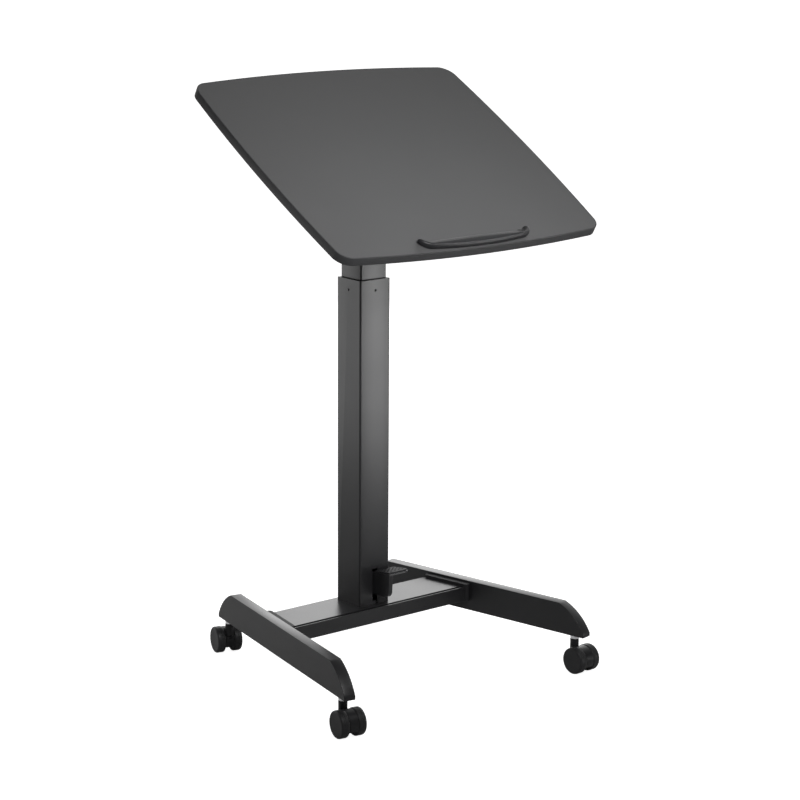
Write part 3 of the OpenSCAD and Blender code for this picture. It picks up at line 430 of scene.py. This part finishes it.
# %% [markdown]
# Four grub screws near the top press the glide against the inner tube. They sit a little
# below the tube's face, with a socket for the key, and show as small dark marks. A dark
# spot in the paint could stand for them, but a turned piece has a real socket, and one
# drawn profile serves all four.

# %% Grub screws
def turned(name, profile, places, body, slot, replaced, segments=64, finish=None):
    """A turned piece: the profile (radius, height), which starts and ends on the axis, is
    carried round it. Each of its points gives a ring (r cos t, r sin t, h). `places` puts
    one copy at each spot."""
    p = np.asarray(profile, float)
    t = np.linspace(0, 2 * math.pi, segments, endpoint=False)
    ring = np.stack([p[:, None, 0] * np.cos(t), p[:, None, 0] * np.sin(t),
                     np.broadcast_to(p[:, None, 1], (len(p), segments))], -1)
    one = ring.reshape(-1, 3)
    faces = []
    for i in range(len(places)):
        faces += grid_faces(len(p), segments, i * len(one))
    verts = np.concatenate([place(one) for place in places])
    obj = make_piece(name, verts, faces, body, slot, finish)
    closed(obj)
    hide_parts(*replaced)
    return obj


GRUB_Z = 0.723
GRUB = [(0, 0.0332), (0.00125, 0.0332), (0.00125, 0.0340), (0.0021, 0.0341),
        (0.0025, 0.0337), (0.0025, 0.0325), (0, 0.0325)]
grub_at = [at((0, COLUMN_Y, GRUB_Z), (-y, x, 0), (0, 0, 1), (x, y, 0))
           for x, y in ((1, 0), (0, 1), (-1, 0), (0, -1))]
grubs = turned("grub_screw_ends", GRUB, grub_at, "base", SLOT_OF["grub_screws"],
               ["grub_screws"], segments=24)
print("grub screws:", len(grub_at), "across", round(grubs.dimensions[0] / MM, 1), "mm")

# %% [markdown]
# ## The base
# The crossbeam is a flat tube with a thin front plate standing off it. Both could be
# extruded again from their sections, but their CAD forms are right already, so copies
# with broken edges do.

# %% Beam
BEAM_EDGES = {"crossbeam": 0.0010, "beam_front_plate": 0.0006}
for node, width in BEAM_EDGES.items():
    softened(node, width)
print("softened:", ", ".join(BEAM_EDGES))

# %% [markdown]
# Two splayed legs stand at the beam's ends, and their upper side curves down to the
# casters. Rounded end brackets, which are cast and duller than the paint, join them to
# the beam. The legs' long broken edges catch the light, so the legs are computed as
# slabs from their side outline, with an even edge along the curve.

# %% Legs and brackets
SPLAY = math.radians(11.2)
LEG = {"mid": 0.2306, "len": 0.541, "h": 0.059, "w": 0.022, "z": 0.0685, "r": 0.110,
       "run": 0.058, "flat": 0.007, "edge": 0.0008}
HEEL, HEEL_MID = 0.001, 0.0003


def leg_frame(side):
    """Seen from above, with splay s: along the leg is (-side sin s, cos s), and outwards
    is (side cos s, sin s)."""
    along = np.array([side * -math.sin(SPLAY), math.cos(SPLAY), 0])
    out = np.array([side * math.cos(SPLAY), math.sin(SPLAY), 0])
    return along, out


def leg_outline():
    """A rectangle whose two upper ends are arcs of radius r through (end, flat) and
    (end - run, height). The arc's angle runs evenly between those two points. The two
    lower corners are rounded by HEEL, in two steps."""
    half = LEG["len"] / 2
    a0, a1 = np.array([half, LEG["flat"]]), np.array([half - LEG["run"], LEG["h"]])
    d = a1 - a0
    length = np.linalg.norm(d)
    across = np.array([-d[1], d[0]]) / length
    centre = (a0 + a1) / 2 + across * math.sqrt(LEG["r"] ** 2 - length ** 2 / 4)
    t0, t1 = np.arctan2(*(a0 - centre)[::-1]), np.arctan2(*(a1 - centre)[::-1])
    t = np.linspace(t0, t1, 18)
    arc = centre + LEG["r"] * np.stack([np.cos(t), np.sin(t)], 1)
    foot = np.array([[-half + HEEL, 0], [half - HEEL, 0], [half - HEEL_MID, HEEL_MID],
                     [half, HEEL]])
    other = arc[::-1] * [-1, 1]
    heel = np.array([[-half, HEEL], [-half + HEEL_MID, HEEL_MID]])
    return np.concatenate([foot, arc, other, heel])


CAST = speckled("painted casting", (0.010, 0.010, 0.011), (0.015, 0.015, 0.016),
                rough=(0.52, 0.62), grain=700, depth=0.00012, specular=0.16)
for side, name in [(-1, "left"), (1, "right")]:
    along, out = leg_frame(side)
    outline = leg_outline()
    if side > 0:
        outline = outline[::-1] * [-1, 1]
        along = -along
    place = at((side * LEG["mid"], 0, LEG["z"]), along, (0, 0, 1), out)
    leg = slab("leg_shell_" + name, outline, -LEG["w"] / 2, LEG["w"] / 2, LEG["edge"], place,
               "base", "painted_steel", ["leg_" + name])
    closed(leg)
    softened("end_bracket_" + name, 0.0026, 4, finish=CAST)

# %% [markdown]
# ## The casters
# Each caster has two plain wheels on one axle, with the swivelling housing between them.
# A bevelled cylinder would lack the wheel's parting line and its sunken outer face. The
# wheels are turned pieces, so their profile is drawn once and carried round.

# %% Casters
WHEEL_PLASTIC = speckled("wheel plastic", (0.015, 0.015, 0.016), (0.022, 0.022, 0.023),
                         rough=(0.42, 0.52), grain=1400, depth=0.00004, specular=0.28)
WHEEL = [(0, 0.0078), (0.0200, 0.0078), (0.0222, 0.0080), (0.0234, 0.0077), (0.0243, 0.0071),
         (0.0250, 0.0061), (0.0253, 0.0050), (0.0254, 0.0038), (0.0254, 0.0006),
         (0.0250, 0.0002), (0.0250, -0.0006), (0.0254, -0.0010), (0.0254, -0.0056),
         (0.0252, -0.0066), (0.0246, -0.0075), (0.0238, -0.0079), (0.0230, -0.0080),
         (0.0219, -0.0079), (0.0217, -0.0050), (0.0066, -0.0050), (0.0064, -0.0078),
         (0.0060, -0.0080), (0.00305, -0.0080), (0.00305, 0.0060), (0, 0.0060)]
CORNERS = {"fl": "front_left", "fr": "front_right", "rl": "rear_left", "rr": "rear_right"}
up = np.array([0, 0, 1.0])
for key, corner in CORNERS.items():
    for i in (1, 2):
        joint = JOINTS["roll_%s_%d" % (key, i)]
        outward = np.array(joint["axis"]) * (1 if i == 2 else -1)
        place = at(joint["pos_m"], np.cross(up, outward), up, outward)
        turned("tyre_%s_%d" % (corner, i), WHEEL, [place], "wheel_%s_%d" % (key, i),
               "black_plastic", ["wheel_%s_%d" % (corner, i)], finish=WHEEL_PLASTIC)
    softened("housing_" + corner, 0.0007)
print("wheels:", 2 * len(CORNERS), "across", round(2 * max(r for r, _ in WHEEL) / MM, 1), "mm")

# %% [markdown]
# ## The pedal
# The foot lever is a bent steel arm that comes out of a slot in the column, with a
# studded rubber pad on its tread. The arm's edges are broken on a copy. The pad could be
# made anew as well, but its CAD mesh already has every stud, so it only gets its rubber.

# %% Pedal
softened("pedal_arm", 0.0012, 3)
print("pad:", len(NODES["pedal_pad"].data.polygons), "faces, finish", SLOT_OF["pedal_pad"])

# %% [markdown]
# ## The room
# The picture needs soft light, as in a studio with a white backdrop. An even white tent
# would make every black face the same grey. So the room that the desk mirrors is dim,
# with a bright backdrop behind the desk that gives the level faces their sheen. Only the
# camera's own rays see it as white.

# %% Room
BACKDROP_WAY = (0.62, 0.78, 0.0)
ROOM_LEVEL, BACKDROP_LEVEL, BACKDROP_RISE = 0.14, 0.82, 1.5
scene = bpy.context.scene
scene.view_settings.view_transform = "Standard"
world = bpy.data.worlds.new("studio")
scene.world = world
world.use_nodes = True
wt = world.node_tree
background = wt.nodes["Background"]
background.inputs["Color"].default_value = (1, 1, 1, 1)
paths = wt.nodes.new("ShaderNodeLightPath")
direction = wt.nodes.new("ShaderNodeTexCoord").outputs["Generated"]


def step_of(value, start, end):
    """A smooth step 3 t^2 - 2 t^3, with t = 0 where value is start and 1 where it is end."""
    node = wt.nodes.new("ShaderNodeMapRange")
    node.interpolation_type = "SMOOTHSTEP"
    node.inputs["From Min"].default_value, node.inputs["From Max"].default_value = start, end
    wt.links.new(value, node.inputs["Value"])
    return node.outputs["Result"]


def combined(operation, a, b):
    """One maths step on two outputs, or on an output and a number."""
    node = wt.nodes.new("ShaderNodeMath")
    node.operation = operation
    wt.links.new(a, node.inputs[0])
    if isinstance(b, float):
        node.inputs[1].default_value = b
    else:
        wt.links.new(b, node.inputs[1])
    return node.outputs[0]


toward = wt.nodes.new("ShaderNodeVectorMath")
toward.operation = "DOT_PRODUCT"
toward.inputs[1].default_value = BACKDROP_WAY
wt.links.new(direction, toward.inputs[0])
parts = wt.nodes.new("ShaderNodeSeparateXYZ")
wt.links.new(direction, parts.inputs[0])
height = parts.outputs["Z"]
# The backdrop begins about 75 degrees off its middle and is full within 33 degrees. It
# ends between 37 and 53 degrees up, and grows brighter from 14 to 35 degrees up.
backdrop = combined("MULTIPLY", step_of(toward.outputs["Value"], 0.28, 0.84),
                    step_of(height, 0.80, 0.60))
rise = combined("MULTIPLY", step_of(height, 0.25, 0.58), BACKDROP_RISE)
backdrop = combined("MULTIPLY", backdrop, combined("ADD", rise, 1.0))
room = combined("ADD", combined("MULTIPLY", backdrop, BACKDROP_LEVEL), ROOM_LEVEL)
strength = combined("MAXIMUM", room, paths.outputs["Is Camera Ray"])
wt.links.new(strength, background.inputs["Strength"])
print("room", ROOM_LEVEL, "backdrop up to", round(BACKDROP_LEVEL * (1 + BACKDROP_RISE), 2))

# %% [markdown]
# ## The lamps
# The column is shaded from its top to its foot, and the lip and the edge band stand out
# from the board. One big lamp would flatten that. Here only the right back lamp is wide,
# for the whole desk. Each of the others has a grid that narrows its beam, so it lights
# mainly the part that it faces.

# %% Lamps
def area(name, place, target, size, power, spread=180):
    """A square lamp at `place` that faces `target`. A grid on it narrows its beam to
    `spread` degrees."""
    lamp = bpy.data.lights.new(name, "AREA")
    lamp.shape, lamp.size, lamp.energy, lamp.spread = "SQUARE", size, power, math.radians(spread)
    obj = bpy.data.objects.new(name, lamp)
    obj.location = place
    obj.rotation_euler = (Vector(target) - Vector(place)).to_track_quat("-Z", "Y").to_euler()
    obj.visible_camera = False
    scene.collection.objects.link(obj)


area("front right", (1.05, -1.30, 0.34), (0, 0, 0.74), 0.6, 1.18, 54)
area("left back", (-1.00, 1.50, 0.26), (0, 0, 0.36), 0.9, 2.3, 110)
area("right back", (2.45, 2.6, 1.00), (0, 0, 0.1), 1.6, 15)
area("upper front", (0.93, -1.15, 1.48), (0, -0.22, 0.83), 0.35, 0.6, 50)
area("over the front", (-0.42, -1.10, 1.34), (-0.08, -0.29, 0.86), 0.7, 5.1, 76)

# %% [markdown]
# ## The floor
# The photograph's floor is white paper that fades into the backdrop, with hardly a
# shadow. A floor lit up to white would need far too much light on the desk. So its
# colour is a pale grey, and a glow that only the camera's rays see lifts it to white.

# %% Floor
FLOOR_HALF = 30.0
PAPER, PAPER_GLOW = 0.62, 0.93
floor_mesh = bpy.data.meshes.new("floor")
floor_mesh.from_pydata([(-FLOOR_HALF, -FLOOR_HALF, 0), (FLOOR_HALF, -FLOOR_HALF, 0),
                        (FLOOR_HALF, FLOOR_HALF, 0), (-FLOOR_HALF, FLOOR_HALF, 0)],
                       [], [(0, 1, 2, 3)])
floor = bpy.data.objects.new("floor", floor_mesh)
scene.collection.objects.link(floor)
paper, tree, shader, _ = tree_of("floor paper")
shader.inputs["Base Color"].default_value = (PAPER, PAPER, PAPER, 1)
shader.inputs["Roughness"].default_value = 0.9
shader.inputs["Specular IOR Level"].default_value = 0.0
shader.inputs["Emission Color"].default_value = (1, 1, 1, 1)
path = tree.nodes.new("ShaderNodeLightPath")
glow = tree.nodes.new("ShaderNodeMath")
glow.operation = "MULTIPLY"
glow.inputs[1].default_value = PAPER_GLOW
tree.links.new(path.outputs["Is Camera Ray"], glow.inputs[0])
tree.links.new(glow.outputs[0], shader.inputs["Emission Strength"])
floor_mesh.materials.append(paper)
print("floor:", 2 * FLOOR_HALF, "m wide")

# %% [markdown]
# ## The camera
# The place, the turn and the focal length come from a fit to the photograph. A camera
# could be aimed with a Track To constraint, but that leaves out the small roll. So its
# three axes are worked out from yaw, pitch and roll.

# %% Camera
YAW, PITCH, ROLL = math.radians(39.23), math.radians(12.82), math.radians(0.34)
CAMERA_AT = (-2.7763, -3.4521, 1.5277)
FOCAL_MM, SENSOR_MM, FAR_END = 110.14, 36.0, 60
ahead = Vector((math.sin(YAW) * math.cos(PITCH), math.cos(YAW) * math.cos(PITCH), -math.sin(PITCH)))
level_right = Vector((math.cos(YAW), -math.sin(YAW), 0))
level_up = level_right.cross(ahead)
camera_right = math.cos(ROLL) * level_right + math.sin(ROLL) * level_up
camera_up = -math.sin(ROLL) * level_right + math.cos(ROLL) * level_up
lens = bpy.data.cameras.new("camera")
lens.lens, lens.sensor_width, lens.clip_end = FOCAL_MM, SENSOR_MM, FAR_END
camera = bpy.data.objects.new("camera", lens)
turn = Matrix((camera_right, camera_up, -ahead)).transposed().to_4x4()
camera.matrix_world = Matrix.Translation(CAMERA_AT) @ turn
scene.collection.objects.link(camera)
scene.camera = camera
print("camera at", CAMERA_AT, "with a", FOCAL_MM, "mm lens")
